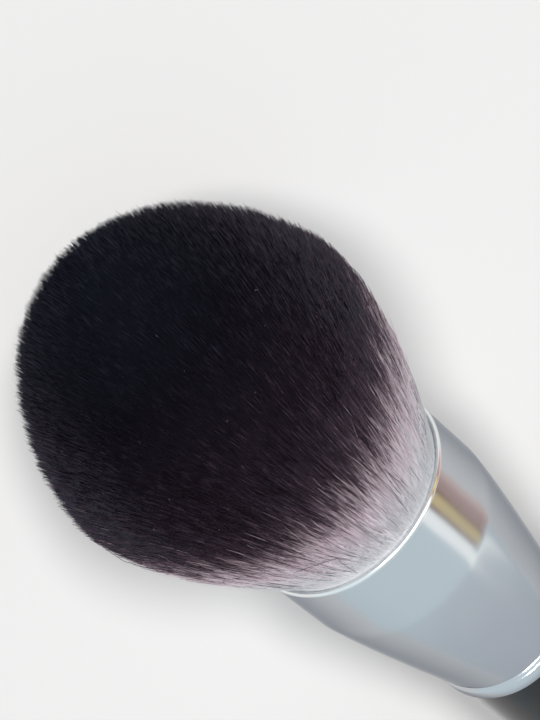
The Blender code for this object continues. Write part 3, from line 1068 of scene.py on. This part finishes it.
def risingHairs(draw):
    hair = strays["rising"]
    threads = []
    for number in range(hair["count"]):
        turn = draw.uniform(0, 2 * math.pi)
        drift = draw.uniform(*hair["drift"])
        start = draw.choice((hair["mouth"], draw.uniform(*hair["start"])))
        end = draw.uniform(*hair["end"])
        lift = draw.uniform(*hair["lift"])
        heights = spread(start, end, hair["points"])
        points = [onTuft(height, turn + drift * height / end, lift * height / end) for height in heights]
        dye = draw.uniform(*hair["dye"])
        threads.append((points, hair["radius"], draw.randrange(fibreColours["sheenFrom"]), dye))
    return threads


def lint(draw):
    fluff = strays["lint"]
    threads = []
    for number in range(fluff["count"]):
        height = brush["headLength"] * draw.uniform(*fluff["height"])
        turn = draw.uniform(0, 2 * math.pi)
        curl = draw.uniform(*fluff["curl"])
        facing = draw.uniform(0, 2 * math.pi)
        size = draw.uniform(*fluff["size"])
        points = []
        for share in spread(0, 1, fluff["points"]):
            angle = facing + curl * share
            aside = turn + size * math.sin(angle) / headRadius(height)
            points.append(onTuft(height + size * math.cos(angle), aside, fluff["lift"]))
        threads.append((points, fluff["radius"], draw.randrange(fibreColours["sheenFrom"]), fluff["dye"]))
    return threads


def addThread(bm, fibreMap, points, radius, column, dye):
    # a thin closed tube of three sides through the points, in one colour
    rings = []
    for number, point in enumerate(points):
        way = points[min(number + 1, len(points) - 1)] - points[max(number - 1, 0)]
        side = way.cross(point - mouth).normalized()
        over = way.cross(side).normalized()
        ring = []
        for corner in range(3):
            angle = 2 * math.pi * corner / 3
            ring.append(bm.verts.new(point + radius * (side * math.cos(angle) + over * math.sin(angle))))
        rings.append(ring)
    faces = [bm.faces.new(rings[0]), bm.faces.new(rings[-1][::-1])]
    for first, second in zip(rings, rings[1:]):
        for corner in range(3):
            after = (corner + 1) % 3
            faces.append(bm.faces.new((first[corner], second[corner], second[after], first[after])))
    edge = fibreColours["columnEdge"]
    for face in faces:
        face.smooth = True
        for number, loop in enumerate(face.loops):
            loop[fibreMap].uv = ((column + edge + edge * number) / fibreColours["columns"], dye)


def addStrays(material):
    draw = random.Random(strays["seed"])
    bm = bmesh.new()
    fibreMap = bm.loops.layers.uv.new("OFBake")
    for thread in bentHair() + shortHairs(draw) + risingHairs(draw) + lint(draw):
        addThread(bm, fibreMap, *thread)
    bmesh.ops.recalc_face_normals(bm, faces=bm.faces)
    mesh = bpy.data.meshes.new("tuft_strays")
    bm.to_mesh(mesh)
    bm.free()
    for vertex in mesh.vertices:
        vertex.co.z = max(vertex.co.z, tuft["tableGap"])
    mesh.materials.append(material)
    return inScene("tuft_strays", mesh)


# Two layers of fibres: short ends all over the dome, and long fibres at the flanks
layers = {
    "tuft_crown": {
        "pieces": 6,
        "strands": 12800,
        "firstSeed": 1,
        "inputs": {"Steps": 3, "Lowest Tip": 0.0135, "Tip Bias": 0.9},
    },
    "tuft_flank": {
        "pieces": 4,
        "strands": 4200,
        "firstSeed": 21,
        "inputs": {
            "Steps": 8,
            "Lowest Tip": 0.0260,
            "Highest Tip": 0.0090,
            "Tip Bias": 1.8,
            "Shown Length": 0.060,
            "Root Spread": 0.012,
            "Clump Size": 0.0008,
            "Clumping": 0.5,
            "Stray": 0.0005,
            "Kink": 0.00016,
            "Sway": 0.10,
        },
    },
}


def addLayer(name, tree, material):
    layer = layers[name]
    share = 1.0
    pieces = []
    for number in range(layer["pieces"]):
        values = {
            "Strands": int(layer["strands"] * share),
            "Seed": layer["firstSeed"] + number,
            "First Turn": number / layer["pieces"],
            "Turn Share": 1 / layer["pieces"],
            "Material": material,
            **layer["inputs"],
        }
        pieces.append(grown(f"{name}_{number + 1}", tree, values))
    return pieces


def addTuft():
    tree = strandTree()
    fibre = strandMaterial()
    pieces = [addBed(), addStrays(fibre)]
    for name in layers:
        pieces += addLayer(name, tree, fibre)
    for piece in pieces:
        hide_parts("bristle_tuft")
        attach(piece, "root")
    print("tuft made,", sum(len(piece.data.polygons) for piece in pieces), "faces")


# Thread and glue inside the ferrule
inside = {
    "threadPlies": 160,
    "threadTwist": 9000,
    "bubbleScale": 1400.0,
    "bubbles": (0.15, 0.45),
    "skinNoise": (700.0, 5.0),
    "skin": (0.3, 0.7),
    "roughnessRange": 0.2,
    "bumpStrength": 0.6,
}


def insideMaterial(name, colours, pattern, rough, relief):
    # pattern is a function that makes a number from 0 to 1 for each point
    material, tree, shader = newMaterial(name)
    share = pattern(tree)
    tone = blend(tree, share, (*colours[0], 1), (*colours[1], 1))
    tree.links.new(tone, shader.inputs["Base Color"])
    feed(tree, shader.inputs["Roughness"], share * inside["roughnessRange"] + rough)
    addBump(tree, shader, share, inside["bumpStrength"], relief)
    return material


def twistedPlies(tree):
    towardsTable, across, height = brushSpot(tree)
    turn = across.angleFrom(towardsTable)
    return (turn * inside["threadPlies"] + height * inside["threadTwist"]).sine() * 0.5 + 0.5


def trappedBubbles(tree):
    inputs = {"Vector": objectSpot(tree), "Scale": inside["bubbleScale"]}
    bubbles = put(tree, "ShaderNodeTexVoronoi", inputs)
    return Field(tree, bubbles.outputs["Distance"]).rising(*inside["bubbles"])


def driedSkin(tree):
    return noise(tree, objectSpot(tree), *inside["skinNoise"]).rising(*inside["skin"])


# each piece's material, colours, pattern, roughness and relief
finishes = {
    "binding_thread": ("waxedThread", ((0.62, 0.56, 0.44), (0.42, 0.36, 0.26)), twistedPlies, 0.55, 0.00008),
    "root_glue": ("amberEpoxy", ((0.60, 0.42, 0.16), (0.42, 0.26, 0.08)), trappedBubbles, 0.12, 0.00003),
    "tenon_adhesive": ("driedGlue", ((0.80, 0.74, 0.58), (0.66, 0.58, 0.42)), driedSkin, 0.5, 0.00005),
}


def dressInside():
    for name, finish in finishes.items():
        material = insideMaterial(*finish)
        for place in frame["nodes"][name].material_slots:
            place.material = material
    print("inside dressed:", ", ".join(finishes))


addCamera()
addFloor()
addSurround()
addLamps()
addFerrule()
addHandle()
addTuft()
dressInside()
